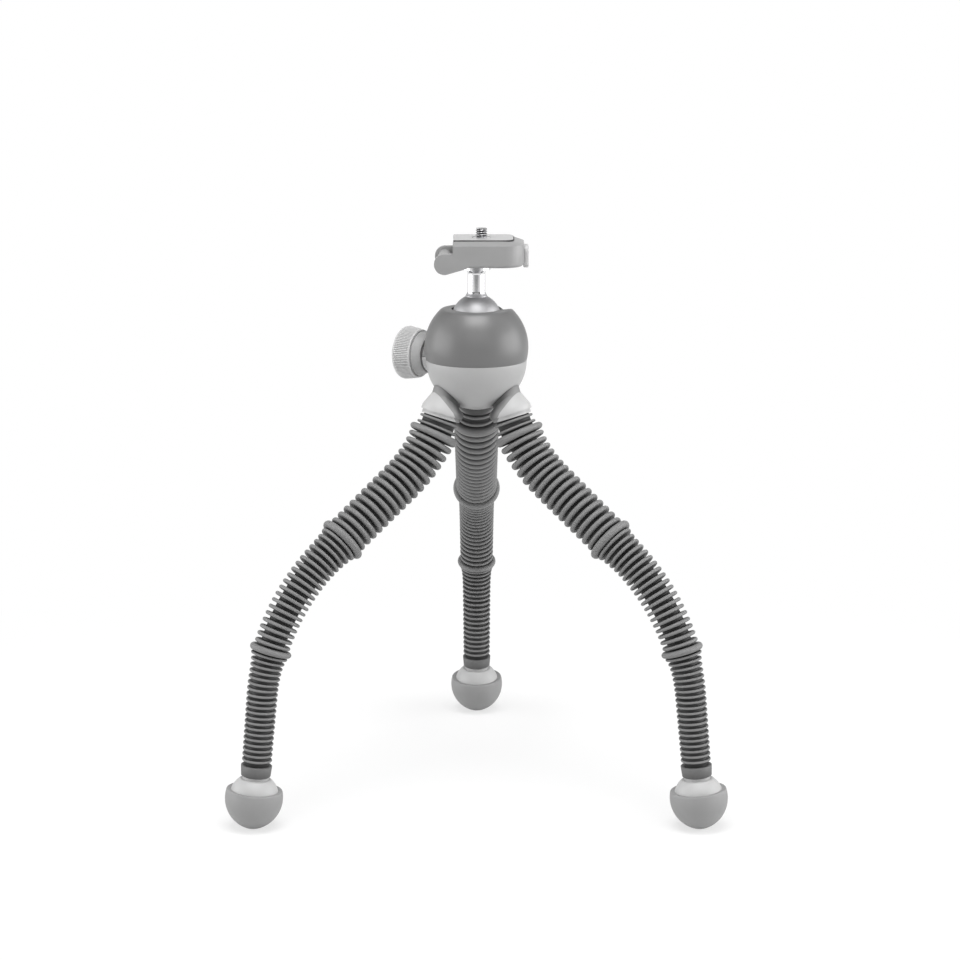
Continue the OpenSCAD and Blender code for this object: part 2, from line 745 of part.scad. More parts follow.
// Stem: pivots in the ball, flares where it meets the ball, and widens to a disc under the clamp
module stem() {
    foot_low = ball_z + sqrt(ball_r^2 - stem_foot_r^2);
    foot_edge = 0.6;
    foot_rise = 3;
    color(chrome) difference() {
        union() {
            translate([0, 0, pivot_low]) cylinder(r = pivot_r, h = clamp_z - pivot_low);
            difference() {
                rotate_extrude() polygon([[0, foot_low - over], [stem_foot_r, foot_low - over],
                    [stem_foot_r, foot_low + foot_edge], [stem_r, foot_low + foot_rise], [stem_r, disc_low - flare.z],
                    [stem_r + flare.x, disc_low], [disc_r, clamp_z - disc_t], [disc_r, clamp_z], [0, clamp_z]]);
                translate([0, 0, ball_z]) sphere(ball_r + ball_fit);
            }
        }
        translate([0, 0, clamp_z - bolt_in]) cylinder(r = bolt_r, h = bolt_in + over);
    }
}

module clamp_bolt() {
    bolt_low = clamp_z - bolt_in + free;
    color(steel) {
        translate([0, 0, bolt_low]) cylinder(r = bolt_r, h = bolt_seat - bolt_low);
        translate([0, 0, bolt_seat]) cylinder(r = bolt_head_r, h = bolt_head_t);
    }
}

// Block with a round right end and a slope along its top edge.
// It runs from left to right, w wide, with the given corners, slope and foot chamfer.
module round_ended(left, right, w, corner_r, z0, z1, slope, foot) {
    half = w/2;
    side = [[half - foot, z0], [half, z0 + foot], [half, z1 - slope.y], [half - slope.x, z1]];
    end = [for (p = side) [p.x - half + corner_r, p.y]];
    mirrored = [for (i = [3:-1:0]) [-side[i].x, side[i].y]];
    translate([left, 0, 0]) rotate([90, 0, 90]) linear_extrude(right - corner_r - left)
        polygon(concat(side, mirrored));
    translate([right - corner_r, half - corner_r, 0]) rotate([90, 0, 0]) linear_extrude(w - 2*corner_r)
        polygon(concat([[-over, z0]], end, [[-over, z1]]));
    for (y = [corner_r - half, half - corner_r])
        translate([right - corner_r, y, 0]) rotate_extrude() polygon(concat([[0, z0]], end, [[0, z1]]));
}

plate_right = clamp_right - plate_inset;
spread_w = plate_w + 2*plate_spread;

// Outline of the plate, or of its channel with a clearance that grows it
module plate_form(grow, left) {
    slope = [plate_spread, plate_t];
    round_ended(left, plate_right + plate_spread + grow, spread_w + 2*grow, plate_corner_r + plate_spread + grow,
        top_z - plate_t - grow, top_z, slope, 0);
}

lug_x = -clamp_left - lug_reach;
lug_z = clamp_z + lug_rise;
button_right = clamp_right + button_proud;
button_low = clamp_z - button_drop;
button_mid = button_low + button_h/2;
pocket_x = button_right - button_t - button_travel - 2*free;
guide_l = 9;
guide_in = pocket_x - guide_l;
coil_in = guide_r + free;
coil_out = guide_r + 5*free;

module button_block(grow, h) {
    corner = 3;
    rotate([90, 0, 90]) linear_extrude(h) {
        for (y = [-1, 1])
            for (z = [-1, 1])
                translate([y*(button_w/2 - corner), z*(button_h/2 - corner)]) circle(corner + grow);
        square([button_w + 2*grow, button_h - 2*corner], center = true);
        square([button_w - 2*corner, button_h + 2*grow], center = true);
    }
}

module lug() {
    tail = [-clamp_left/3, clamp_z];
    flank = atan2(tail.y - lug_z + lug_r, tail.x - lug_x);
    under = [lug_x, lug_z] + lug_r*[sin(flank), -cos(flank)];
    rotate([90, 0, 0]) linear_extrude(lug_t, center = true) {
        translate([lug_x, lug_z]) circle(lug_r);
        polygon([[lug_x, lug_z + lug_r], [lug_x, lug_z], under, tail, tail + [0, lug_rise],
            [-clamp_left + over, lug_z + lug_r]]);
    }
}

// Clamp: a channel for the plate, open at the left between two lugs
module clamp_body() {
    foot = 1.2;
    color(mid_grey) difference() {
        union() {
            round_ended(-clamp_left, clamp_right, clamp_w, clamp_corner_r, clamp_z, top_z - plate_proud,
                clamp_slope, foot);
            for (y = [-1, 1])
                translate([0, y*(clamp_w - lug_t)/2, 0]) lug();
        }
        plate_form(slide_fit, -2*clamp_left);
        translate([0, 0, bolt_seat - set_fit]) cylinder(r = bolt_head_r + set_fit, h = 2*bolt_head_t);
        translate([0, 0, clamp_z - over]) cylinder(r = bolt_r + set_fit/2, h = clamp_h);
        translate([lug_x, 0, lug_z]) rotate([90, 0, 0]) cylinder(r = pin_r, h = clamp_w - 2*lug_skin, center = true);
        translate([pocket_x, 0, button_mid]) button_block(free, button_t + button_travel + over);
        translate([guide_in, 0, button_mid]) rotate([0, 90, 0]) cylinder(r = coil_out + free, h = guide_l + over);
    }
}

module latch_pin() {
    pin_l = clamp_w - 2*(lug_skin + free);
    color(steel) translate([lug_x, 0, lug_z]) rotate([90, 0, 0]) cylinder(r = pin_r, h = pin_l, center = true);
}

// Latch lever: a barrel on the pin between the lugs, with a thumb tab that points down and out
module latch_lever() {
    inner_w = clamp_w - 2*lug_t - 3*free;
    tab_l = lug_r - free;
    tab_t = 0.7*latch_r;
    color(mid_grey) translate([lug_x, 0, lug_z]) rotate([90, 0, 0]) linear_extrude(inner_w, center = true)
        difference() {
            union() {
                circle(latch_r);
                rotate(225) translate([0, -tab_t/2]) square([tab_l, tab_t]);
            }
            circle(pin_r + run_fit);
        }
}

screw_neck_r = screw_r - 0.3;
recess_r = screw_r + 2;
recess_t = 0.9;
clip_t = 0.6;
head_z = top_z - plate_t + 2*free;

module plate() {
    color(mid_grey) difference() {
        plate_form(0, -clamp_left + free);
        translate([screw_x, 0, top_z - plate_t - over]) cylinder(r = screw_r + run_fit, h = plate_t + 2*over);
        translate([screw_x, 0, head_z - over]) cylinder(r = screw_head_r + 2*free, h = screw_head_t + free + over);
        translate([screw_x, 0, top_z - recess_t]) cylinder(r = recess_r, h = recess_t + over);
    }
}

// Camera screw: a slotted head under the plate, a thinner neck and the thread above the plate
module camera_screw() {
    slot_w = 1.4;
    color(steel) difference() {
        union() {
            translate([screw_x, 0, head_z]) cylinder(r = screw_head_r, h = screw_head_t);
            translate([screw_x, 0, head_z]) cylinder(r = screw_neck_r, h = top_z + screw_h - head_z);
            translate([screw_x, 0, top_z]) cylinder(r = screw_r, h = screw_h);
        }
        translate([screw_x - screw_head_r - over, -slot_w/2, head_z - over])
            cube([2*(screw_head_r + over), slot_w, over + screw_head_t/2]);
    }
}

module screw_clip() {
    color(steel) translate([screw_x, 0, top_z - recess_t + free]) difference() {
        cylinder(r = recess_r - 2*free, h = clip_t);
        translate([0, 0, -over]) cylinder(r = screw_neck_r, h = clip_t + 2*over);
    }
}

module release_button() {
    pin_start = guide_in + button_travel + 2*free;
    color(light_grey) {
        translate([button_right - button_t, 0, button_mid]) button_block(0, button_t);
        translate([pin_start, 0, button_mid]) rotate([0, 90, 0])
            cylinder(r = guide_r, h = button_right - button_t/2 - pin_start);
    }
}

// Button spring, as the sleeve that its closed coils fill round the guide pin
module button_spring() {
    spring_l = button_right - button_t - guide_in;
    color(steel) translate([guide_in, 0, button_mid]) rotate([0, 90, 0]) difference() {
        cylinder(r = coil_out, h = spring_l);
        translate([0, 0, -over]) cylinder(r = coil_in, h = spring_l + 2*over);
    }
}

head_nodes = ["lower_shell", "upper_shell", "bottom_cap", "seat_ring", "ball_cup", "lift_block", "brake_wedge",
    "knob_bush", "knob_spindle", "lock_knob", "ball", "stem", "clamp_body", "clamp_bolt", "latch_pin",
    "latch_lever", "plate", "camera_screw", "screw_clip", "release_button", "button_spring", "hip_studs"];
leg_nodes = [for (leg = [0:2]) each concat(
    [for (piece = ["hip_", "sleeve_", "ankle_", "foot_"]) str(piece, leg_name[leg])],
    [for (group = [0:groups - 1]) str("links_", leg_name[leg], "_", group + 1)])];

lower_shell();
upper_shell();
bottom_cap();
seat_ring();
ball_cup();
lift_block();
brake_wedge();
knob_bush();
knob_spindle();
lock_knob();
ball();
stem();
clamp_body();
clamp_bolt();
latch_pin();
latch_lever();
plate();
camera_screw();
screw_clip();
release_button();
button_spring();
hip_studs();
for (leg = [0:2]) {
    hip(leg);
    sleeve(leg);
    ankle(leg);
    foot(leg);
    for (group = [0:groups - 1])
        link_group(leg, group);
}
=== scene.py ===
"""Looks of the flexible leg tripod: finishes, ribbed sleeves, knurl, thread and rubber feet."""

import json
import math

import bmesh
import bpy
import numpy as np
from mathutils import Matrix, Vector


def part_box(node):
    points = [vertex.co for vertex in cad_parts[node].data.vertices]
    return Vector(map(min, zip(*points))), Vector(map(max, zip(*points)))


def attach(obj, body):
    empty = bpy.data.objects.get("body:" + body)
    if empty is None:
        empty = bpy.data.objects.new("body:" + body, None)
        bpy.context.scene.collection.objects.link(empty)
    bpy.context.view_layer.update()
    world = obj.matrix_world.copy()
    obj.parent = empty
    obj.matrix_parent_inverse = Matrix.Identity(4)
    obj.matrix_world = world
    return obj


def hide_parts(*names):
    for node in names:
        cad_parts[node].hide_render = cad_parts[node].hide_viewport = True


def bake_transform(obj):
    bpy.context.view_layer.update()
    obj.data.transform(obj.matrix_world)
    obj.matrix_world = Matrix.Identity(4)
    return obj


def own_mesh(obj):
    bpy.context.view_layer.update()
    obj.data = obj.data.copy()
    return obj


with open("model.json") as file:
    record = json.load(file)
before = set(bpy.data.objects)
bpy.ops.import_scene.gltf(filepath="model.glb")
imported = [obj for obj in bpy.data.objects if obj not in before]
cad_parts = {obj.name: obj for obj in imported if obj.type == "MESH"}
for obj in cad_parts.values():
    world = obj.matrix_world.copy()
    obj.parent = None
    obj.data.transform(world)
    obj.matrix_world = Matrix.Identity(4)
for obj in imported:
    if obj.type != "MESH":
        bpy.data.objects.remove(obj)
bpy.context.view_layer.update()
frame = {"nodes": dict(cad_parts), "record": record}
MM = 0.001

# View
# A long lens a metre and a half in front of the tripod, a little above its head,
# as the photograph was taken.
LENS_MM = 98.1
SENSOR_MM = 36.0
LENS_SHIFT = 0.0015
SIGHT = 100
EYE = Vector((1.2, -1439.3, 506.7)) * MM
TILT_DOWN = math.radians(12.76)
camera_data = bpy.data.cameras.new("camera")
camera_data.lens = LENS_MM
camera_data.sensor_width = SENSOR_MM
camera_data.shift_x = LENS_SHIFT
camera_data.clip_end = SIGHT
camera = bpy.data.objects.new("camera", camera_data)
camera.location = EYE
camera.rotation_euler = (math.pi / 2 - TILT_DOWN, 0, 0)
bpy.context.scene.collection.objects.link(camera)
bpy.context.scene.camera = camera


# Studio
# A pale floor that runs into a white background, and soft lamps on both sides, in front and overhead.
# The room that mirrors see is darker overhead, in front and at the sides, as the polished stem shows.
def mesh_object(name, points, faces):
    """A smooth mesh object from an array of points in metres and a list of faces."""
    mesh = bpy.data.meshes.new(name)
    mesh.from_pydata(points.tolist(), [], faces)
    mesh.polygons.foreach_set("use_smooth", [True] * len(mesh.polygons))
    mesh.update()
    piece = bpy.data.objects.new(name, mesh)
    bpy.context.scene.collection.objects.link(piece)
    return piece


def add_node(tree, kind, **sockets):
    """A shader node with its input values set by socket name, where _ stands for a space."""
    node = tree.nodes.new(kind)
    for socket, value in sockets.items():
        node.inputs[socket.replace("_", " ")].default_value = value
    return node


def maths(tree, operation, first, second):
    """A maths node whose two inputs are sockets or numbers; gives its output socket."""
    node = tree.nodes.new("ShaderNodeMath")
    node.operation = operation
    for place, value in enumerate((first, second)):
        if isinstance(value, (int, float)):
            node.inputs[place].default_value = value
        else:
            tree.links.new(value, node.inputs[place])
    return node.outputs[0]


def ramp(tree, value, span, levels):
    """The first level below the span, the second above it and a smooth change between them."""
    node = add_node(tree, "ShaderNodeMapRange", From_Min=span[0], From_Max=span[1],
                    To_Min=levels[0], To_Max=levels[1])
    node.interpolation_type = "SMOOTHSTEP"
    tree.links.new(value, node.inputs["Value"])
    return node.outputs["Result"]


def background_rays(tree):
    """1 where the camera, a mirror or glass looks at the surface, and 0 for the light it sends out."""
    path = tree.nodes.new("ShaderNodeLightPath")
    seen = maths(tree, "MAXIMUM", path.outputs["Is Camera Ray"], path.outputs["Is Glossy Ray"])
    return maths(tree, "MAXIMUM", seen, path.outputs["Is Transmission Ray"])


def white_to_camera(tree, shade):
    """1 where the camera looks straight at the surface, and the shade given where a mirror does."""
    path = tree.nodes.new("ShaderNodeLightPath")
    return maths(tree, "MAXIMUM", path.outputs["Is Camera Ray"], shade)


def mixed_shaders(tree, share, first, second, output):
    """The first shader where the share is 0 and the second where it is 1, led to a new output node."""
    mix = tree.nodes.new("ShaderNodeMixShader")
    tree.links.new(share, mix.inputs[0])
    tree.links.new(first.outputs[0], mix.inputs[1])
    tree.links.new(second.outputs[0], mix.inputs[2])
    tree.links.new(mix.outputs[0], tree.nodes.new(output).inputs[0])


WHITE = (1, 1, 1, 1)
FLOOR_GREY = (0.84, 0.84, 0.84, 1)
FLOOR_HALF = 6.0
SHADOW_REACH = (0.16, 0.5)
SHADOW_WHITE = 0.66
FLOOR_FRONT = (-1.86, -1.72)
FLOOR_FRONT_SHADE = 0.25
floor_corners = np.array([(-1, -1, 0), (1, -1, 0), (1, 1, 0), (-1, 1, 0)]) * FLOOR_HALF
floor = mesh_object("floor", floor_corners, [(0, 1, 2, 3)])
floor_paint = bpy.data.materials.new("pale_floor")
floor_paint.use_nodes = True
floor_tree = floor_paint.node_tree
floor_tree.nodes.clear()
floor_place = floor_tree.nodes.new("ShaderNodeTexCoord")
floor_split = floor_tree.nodes.new("ShaderNodeSeparateXYZ")
floor_reach = floor_tree.nodes.new("ShaderNodeVectorMath")
floor_reach.operation = "LENGTH"
floor_tree.links.new(floor_place.outputs["Object"], floor_split.inputs[0])
floor_tree.links.new(floor_place.outputs["Object"], floor_reach.inputs[0])
floor_white = ramp(floor_tree, floor_reach.outputs["Value"], SHADOW_REACH, (SHADOW_WHITE, 1.0))
floor_front = ramp(floor_tree, floor_split.outputs["Y"], FLOOR_FRONT, (FLOOR_FRONT_SHADE, 1.0))
floor_diffuse = add_node(floor_tree, "ShaderNodeBsdfDiffuse", Color=FLOOR_GREY)
floor_glow = add_node(floor_tree, "ShaderNodeEmission", Color=WHITE)
floor_tree.links.new(white_to_camera(floor_tree, floor_front), floor_glow.inputs["Strength"])
floor_share = maths(floor_tree, "MULTIPLY", background_rays(floor_tree), floor_white)
mixed_shaders(floor_tree, floor_share, floor_diffuse, floor_glow, "ShaderNodeOutputMaterial")
floor.data.materials.append(floor_paint)

WORLD_LIGHT = 0.36
SKY_RISE = (0.3, 0.7)
SKY_TOP_SHADE = 0.5
SKY_FRONT = (-0.9, -0.4)
SKY_FRONT_SHADE = 0.3
SKY_SIDE = (0.25, 0.45)
SKY_SIDE_SHADE = 0.5
world = bpy.data.worlds.new("studio")
world.use_nodes = True
bpy.context.scene.world = world
sky_tree = world.node_tree
sky_tree.nodes.clear()
sky_place = sky_tree.nodes.new("ShaderNodeTexCoord")
sky_split = sky_tree.nodes.new("ShaderNodeSeparateXYZ")
sky_tree.links.new(sky_place.outputs["Generated"], sky_split.inputs[0])
sky_height = ramp(sky_tree, sky_split.outputs["Z"], SKY_RISE, (1.0, SKY_TOP_SHADE))
sky_front = ramp(sky_tree, sky_split.outputs["Y"], SKY_FRONT, (SKY_FRONT_SHADE, 1.0))
sky_across = maths(sky_tree, "ABSOLUTE", sky_split.outputs["X"], 0.0)
sky_sides = ramp(sky_tree, sky_across, SKY_SIDE, (1.0, SKY_SIDE_SHADE))
sky_shade = maths(sky_tree, "MULTIPLY", maths(sky_tree, "MULTIPLY", sky_height, sky_front), sky_sides)
sky_light = add_node(sky_tree, "ShaderNodeBackground", Color=WHITE, Strength=WORLD_LIGHT)
sky_seen = add_node(sky_tree, "ShaderNodeBackground", Color=WHITE)
sky_tree.links.new(white_to_camera(sky_tree, sky_shade), sky_seen.inputs["Strength"])
mixed_shaders(sky_tree, background_rays(sky_tree), sky_light, sky_seen, "ShaderNodeOutputWorld")
bpy.context.scene.view_settings.view_transform = "Standard"

LAMP_TARGET = Vector((0, 0, 0.25))
LAMPS = {
    "left_softbox": ((-1.5, -0.15, 0.48), (1.5, 0.94), 14.0),
    "right_softbox": ((1.5, -0.15, 0.48), (1.5, 0.94), 18.5),
    "front_softbox": ((0.0, -1.3, 1.0), (1.4, 0.3), 2.6),
    "top_softbox": ((0.0, -0.5, 1.76), (1.1, 0.8), 26.0),
}
for lamp_name, (place, size, watts) in LAMPS.items():
    lamp_data = bpy.data.lights.new(lamp_name, "AREA")
    lamp_data.shape = "RECTANGLE"
    lamp_data.size, lamp_data.size_y = size
    lamp_data.energy = watts
    lamp = bpy.data.objects.new(lamp_name, lamp_data)
    lamp.location = place
    lamp.rotation_euler = (LAMP_TARGET - Vector(place)).to_track_quat("-Z", "Y").to_euler()
    bpy.context.scene.collection.objects.link(lamp)

# Lower shell and bottom cap
# A light grey bowl moulded in plastic, which carries the ball's seats and the three hips.
# A flat pale cap is pressed in below it, between the legs.
FINE_GRAIN = 0.4 * MM
BROAD_CLOUD = 20 * MM
GRAIN_DEPTH = 0.006 * MM
GRAIN_STRENGTH = 0.6
GLOSS_SPREAD = 0.12


def skin_group():
    """Fine moulded skin: a small grain for bump, a broad cloud for shade and a mask for roughness."""
    group = bpy.data.node_groups.new("moulded_skin", "ShaderNodeTree")
    for socket, size in (("Grain Size", FINE_GRAIN), ("Cloud Size", BROAD_CLOUD)):
        made = group.interface.new_socket(socket, in_out="INPUT", socket_type="NodeSocketFloat")
        made.default_value = size
    for socket in ("Height", "Shade", "Gloss"):
        group.interface.new_socket(socket, in_out="OUTPUT", socket_type="NodeSocketFloat")
    inside = group.nodes.new("NodeGroupInput")
    outside = group.nodes.new("NodeGroupOutput")
    place = group.nodes.new("ShaderNodeTexCoord")
    layers = (("Grain Size", 2.0, ("Height",)), ("Cloud Size", 4.0, ("Shade", "Gloss")))
    for socket, detail, targets in layers:
        scale = maths(group, "DIVIDE", 1.0, inside.outputs[socket])
        noise = add_node(group, "ShaderNodeTexNoise", Detail=detail, Roughness=0.6)
        group.links.new(place.outputs["Object"], noise.inputs["Vector"])
        group.links.new(scale, noise.inputs["Scale"])
        for target in targets:
            group.links.new(noise.outputs["Fac"], outside.inputs[target])
    return group


moulded_skin = skin_group()
MIX_SHARE, MIX_FIRST, MIX_SECOND, MIX_COLOUR = 0, 6, 7, 2


def colour_mix(tree, share, first, second):
    """The first colour where the share is 0, the second where it is 1; each is a socket or a plain colour."""
    node = tree.nodes.new("ShaderNodeMix")
    node.data_type = "RGBA"
    tree.links.new(share, node.inputs[MIX_SHARE])
    for place, colour in ((MIX_FIRST, first), (MIX_SECOND, second)):
        if isinstance(colour, tuple):
            node.inputs[place].default_value = (*colour, 1)
        else:
            tree.links.new(colour, node.inputs[place])
    return node.outputs[MIX_COLOUR]


def finish(name, colour, roughness, metallic=0.0, spread=0.06, grain=FINE_GRAIN, cloud=BROAD_CLOUD,
           depth=GRAIN_DEPTH, specular=0.5):
    """A material whose shade and gloss drift a little over the surface, with a fine grain as bump."""
    material = bpy.data.materials.new(name)
    material.use_nodes = True
    tree = material.node_tree
    shader = tree.nodes["Principled BSDF"]
    shader.inputs["Metallic"].default_value = metallic
    shader.inputs["Specular IOR Level"].default_value = specular
    skin = tree.nodes.new("ShaderNodeGroup")
    skin.node_tree = moulded_skin
    skin.inputs["Grain Size"].default_value = grain
    skin.inputs["Cloud Size"].default_value = cloud
    darker = tuple(c * (1 - spread) for c in colour)
    lighter = tuple(c * (1 + spread) for c in colour)
    shade = colour_mix(tree, skin.outputs["Shade"], darker, lighter)
    gloss = add_node(tree, "ShaderNodeMapRange", To_Min=roughness * (1 - GLOSS_SPREAD),
                     To_Max=roughness * (1 + GLOSS_SPREAD))
    bump = add_node(tree, "ShaderNodeBump", Strength=GRAIN_STRENGTH, Distance=depth)
    tree.links.new(shade, shader.inputs["Base Color"])
    tree.links.new(skin.outputs["Gloss"], gloss.inputs["Value"])
    tree.links.new(gloss.outputs["Result"], shader.inputs["Roughness"])
    tree.links.new(skin.outputs["Height"], bump.inputs["Height"])
    tree.links.new(bump.outputs["Normal"], shader.inputs["Normal"])
    return material


def grey(level):
    """Linear colour of a neutral grey given as an 8-bit display level."""
    c = level / 255
    linear = c / 12.92 if c <= 0.04045 else ((c + 0.055) / 1.055) ** 2.4
    return (linear, linear, linear)


MERGE_WITHIN = 2e-6
FLAT_ANGLE = math.radians(0.05)
EDGE_ANGLE = math.radians(28)
EDGE_STEPS = 3


def softened(node, edge, material, body):
    """The node's own shape with its sharp edges rounded by edge metres, as a moulded piece has."""
    shape = bmesh.new()
    shape.from_mesh(frame["nodes"][node].data)
    bmesh.ops.remove_doubles(shape, verts=shape.verts, dist=MERGE_WITHIN)
    bmesh.ops.dissolve_limit(shape, angle_limit=FLAT_ANGLE, verts=shape.verts, edges=shape.edges)
    mesh = bpy.data.meshes.new(node + "_shape")
    shape.to_mesh(mesh)
    shape.free()
    mesh.materials.clear()
    mesh.materials.append(material)
    piece = bpy.data.objects.new(node + "_shape", mesh)
    bpy.context.scene.collection.objects.link(piece)
    mesh.polygons.foreach_set("use_smooth", [True] * len(mesh.polygons))
    rounding = piece.modifiers.new("rounding", "BEVEL")
    rounding.width = edge
    rounding.segments = EDGE_STEPS
    rounding.limit_method = "ANGLE"
    rounding.angle_limit = EDGE_ANGLE
    rounding.use_clamp_overlap = True
    rounding.harden_normals = True
    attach(piece, body)
    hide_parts(node)
    return piece


light_plastic = finish("light_grey_plastic", grey(158), roughness=0.42)
pale_plastic = finish("pale_grey_plastic", grey(180), roughness=0.5, cloud=12 * MM)
softened("lower_shell", 0.2 * MM, light_plastic, "housing")
softened("bottom_cap", 0.4 * MM, pale_plastic, "housing")

# Upper shell
# A dark grey dome moulded in plastic, which closes the housing over the lower shell.
# Its wide mouth shows the ball, and a slot in the mouth's edge lets the stem drop to the side.
dark_plastic = finish("dark_grey_plastic", grey(101), roughness=0.38)
softened("upper_shell", 0.4 * MM, dark_plastic, "housing")


# Inner pieces of the head
# Nylon seats above and below the ball, and a steel block and wedge that press them together.
# A brass bush in the housing's side carries the knob's steel spindle.
def paint(node, material):
    """Gives a CAD node its finish in every material slot."""
    slots = frame["nodes"][node].data.materials
    for i in range(len(slots)):
        slots[i] = material
    if len(slots) == 0:
        slots.append(material)


nylon = finish("white_nylon", grey(232), roughness=0.55, cloud=8 * MM)
turned_steel = finish("turned_steel", (0.56, 0.56, 0.57), roughness=0.3, metallic=1.0, spread=0.1,
                      cloud=4 * MM)
brass = finish("turned_brass", (0.66, 0.5, 0.24), roughness=0.3, metallic=1.0, spread=0.1, cloud=4 * MM)
for seat in ("seat_ring", "ball_cup"):
    paint(seat, nylon)
for brake_piece in ("lift_block", "brake_wedge", "knob_spindle"):
    paint(brake_piece, turned_steel)
paint("knob_bush", brass)


# Lock knob
# A light grey moulded drum on a tapered neck, fixed to the outer end of the spindle.
# A fine straight knurl runs round the drum for grip.
def crest_heights(piece, heights):
    """Marks each point as on a crest, 1, in a groove, 0, or between."""
    crest = piece.data.attributes.new("crest", "FLOAT", "POINT")
    crest.data.foreach_set("value", np.asarray(heights, np.float32).ravel())


# The crest mark sets how much painted shade falls in a groove; it stands in for the shadow between ridges.
def make_painted_shade_group():
    """Painted shade for ridged surfaces: the given shade colour at crest mark 0 and the crest's own colour at
    1.
    """
    group = bpy.data.node_groups.new("painted_shade_for_grooves", "ShaderNodeTree")
    for socket in ("Groove", "Crest"):
        group.interface.new_socket(socket, in_out="INPUT", socket_type="NodeSocketColor")
    group.interface.new_socket("Colour", in_out="OUTPUT", socket_type="NodeSocketColor")
    inside = group.nodes.new("NodeGroupInput")
    outside = group.nodes.new("NodeGroupOutput")
    mark = group.nodes.new("ShaderNodeAttribute")
    mark.attribute_name = "crest"
    shade = colour_mix(group, mark.outputs["Fac"], inside.outputs["Groove"], inside.outputs["Crest"])
    group.links.new(shade, outside.inputs["Colour"])
    return group


painted_shade_for_grooves = make_painted_shade_group()


def paint_shade_in_grooves(material, groove):
    """Paints shade into the grooves: the material turns to the given shade colour where the crest mark falls
    to 0.
    """
    tree = material.node_tree
    base_colour = tree.nodes["Principled BSDF"].inputs["Base Color"]
    shade = tree.nodes.new("ShaderNodeGroup")
    shade.node_tree = painted_shade_for_grooves
    shade.inputs["Groove"].default_value = (*groove, 1)
    tree.links.new(base_colour.links[0].from_socket, shade.inputs["Crest"])
    tree.links.new(shade.outputs["Colour"], base_colour)
    return material


def revolve(name, outline, around, turns=96, ripple=None):
    """Outline points (radius, height) carried round an axis, closed at its ends.

    around is (origin, axis, side), and ripple(angle, height, radius) gives the radius
    at each angle where the piece isn't round."""
    origin, axis, side = (np.array(v, float) for v in around)
    axis /= np.linalg.norm(axis)
    side -= axis * side.dot(axis)
    side /= np.linalg.norm(side)
    other = np.cross(axis, side)
    radius, height = np.array(outline, float).T
    angle = np.linspace(0, 2 * np.pi, turns, endpoint=False)
    ring = np.broadcast_to(radius[:, None], (len(radius), turns))
    if ripple is not None:
        ring = ripple(angle[None, :], height[:, None], ring)
    spoke = np.cos(angle)[:, None] * side + np.sin(angle)[:, None] * other
    points = origin + height[:, None, None] * axis + ring[..., None] * spoke
    rows = len(radius)
    grid = np.arange(rows * turns).reshape(rows, turns)
    after = np.roll(grid, -1, axis=1)
    quads = np.stack([grid[:-1], after[:-1], after[1:], grid[1:]], axis=-1).reshape(-1, 4)
    first_hub = np.full(turns, rows * turns)
    first_cap = np.stack([after[0], grid[0], first_hub], axis=1)
    last_cap = np.stack([grid[-1], after[-1], first_hub + 1], axis=1)
    hubs = points[[0, -1]].mean(axis=1)
    faces = quads.tolist() + first_cap.tolist() + last_cap.tolist()
    piece = mesh_object(name, np.vstack([points.reshape(-1, 3), hubs]), faces)
    if ripple is not None:
        dip = radius[:, None] - ring
        crest_heights(piece, np.append(1 - dip / dip.max(), [1, 1]))
    return piece


def outline_from(level, points_mm):
    """Outline points given in mm, as a radius and a height above a level in metres."""
    return [(radius * MM, level + height * MM) for radius, height in points_mm]


def arc(centre, radius, start, end, steps):
    """Points on a circle from the start angle to the end angle, in degrees."""
    angle = np.radians(np.linspace(start, end, steps))
    return list(zip(centre[0] + radius * np.cos(angle), centre[1] + radius * np.sin(angle)))


def fade(distance, length):
    """0 before a start, 1 from the length beyond it and a straight rise between."""
    return np.clip(distance / length, 0, 1)


def smooth_by_angle(piece, degrees):
    """Smooth shading with sharp creases past the given angle."""
    piece.data.set_sharp_from_angle(angle=math.radians(degrees))


def second_finish_below(piece, origin, axis, height):
    """Gives the piece's second material to the faces below a height along the axis from the origin."""
    faces = piece.data.polygons
    centres = np.zeros(3 * len(faces), np.float32)
    faces.foreach_get("center", centres)
    reach = (centres.reshape(-1, 3) - origin) @ np.array(axis, float)
    faces.foreach_set("material_index", (reach < height).astype(np.int32))


joints = {joint["name"]: joint for joint in frame["record"]["behaviour"]["joints"]}
knob_axis = np.array(joints["knob_turn"]["axis"], float)
knob_centre = np.array(joints["knob_turn"]["pos_m"], float)
KNOB_REACH = 47.6 * MM
DRUM = 11.6 * MM
NECK = 5.2 * MM
KNOB_R = 15.05 * MM
DRUM_FOOT_R = 13.55 * MM
DRUM_FOOT = 0.3 * MM
DRUM_SWELL = 8.1 * MM
DRUM_ROUND = 3 * MM
NECK_IN_R = 10.2 * MM
NECK_OUT_R = 12.5 * MM
NECK_EDGE = 0.2 * MM
NECK_TAPER = 4.3 * MM
KNOB_FOOT_MM = [(9.2, 0), (10.0, 0), (10.2, 0.2)]
KNOB_GROOVE_MM = [(12.35, -0.4), (12.0, -0.25), (12.0, 0.02), (13.2, 0.02), (13.55, 0.3)]
KNOB_FACE_MM = [(10.5, 0), (9.8, -0.35), (4, -0.35)]
KNURLS = 88
KNURL_STEPS = 8
KNURL_DEPTH = 0.4 * MM
KNURL_START, KNURL_RISE = 0.5 * MM, 0.6 * MM
KNURL_END, KNURL_FALL = 1.2 * MM, 0.8 * MM
RIDGE_WIDTH = 1.5
drum_start = KNOB_REACH - DRUM
neck_start = drum_start - NECK


def knurl(angle, height, radius):
    """Straight ridges on the drum's side: the radius dips by the knurl's depth between ridges."""
    rise = fade(height - drum_start - KNURL_START, KNURL_RISE)
    fall = fade(KNOB_REACH - KNURL_END - height, KNURL_FALL)
    dip = 0.5 - 0.5 * np.cos(KNURLS * angle)
    return radius - KNURL_DEPTH * rise * fall * dip ** RIDGE_WIDTH


